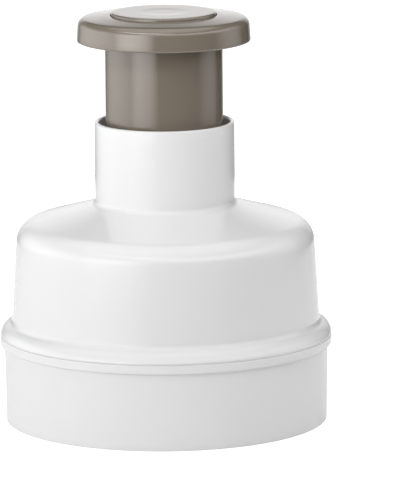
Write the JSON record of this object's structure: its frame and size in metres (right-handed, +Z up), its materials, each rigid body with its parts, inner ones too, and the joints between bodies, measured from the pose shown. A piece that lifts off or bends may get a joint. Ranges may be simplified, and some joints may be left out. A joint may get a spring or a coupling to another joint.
{
  "type": "patty press",
  "caption": "Spring-return patty press: bell housing on an open forming ring, palm knob and tube driving a round press plate.",
  "frame": {"origin": "centre of the forming ring's foot, on the surface the press stands on", "axes": "+Z up along the axis of the plunger; the press is round, so +X and -Y are any two sides"},
  "size_m": [0.119, 0.119, 0.1472],
  "materials": {
    "white_plastic": "moulded, high gloss",
    "taupe_plastic": "moulded, high gloss",
    "natural_acetal": "turned, satin",
    "stainless": "drawn or stamped stainless steel",
    "rubber": "matt"
  },
  "bodies": {
    "forming_ring": {"forming_ring": "white_plastic"},
    "housing": {"dome_housing": "white_plastic", "guide_bush": "natural_acetal", "lower_spring_seat": "stainless", "return_spring": "stainless"},
    "thrust_washer": {"thrust_washer": "stainless"},
    "plunger": {"palm_knob": "taupe_plastic", "knob_cap": "taupe_plastic", "plunger_tube": "taupe_plastic", "plunger_stem": "stainless", "knob_screw_washer": "stainless", "knob_screw": "stainless", "press_plate": "white_plastic", "plate_screw_washer": "stainless", "plate_screw": "stainless", "stop_bumper": "rubber"}
  },
  "joints": [
    {"name": "housing_lift", "type": "slide", "parent": "forming_ring", "child": "housing", "axis": [0, 0, 1], "range_m": [0, 0.06]},
    {"name": "plunger_press", "type": "slide", "parent": "housing", "child": "thrust_washer", "axis": [0, 0, -1], "range_m": [0, 0.028], "stiffness_N_per_m": 500, "springref_m": -0.01, "deforming": ["return_spring"]},
    {"name": "plunger_spin", "type": "hinge", "parent": "thrust_washer", "child": "plunger", "pos_m": [0, 0, 0.1362], "axis": [0, 0, 1], "continuous": true}
  ]
}
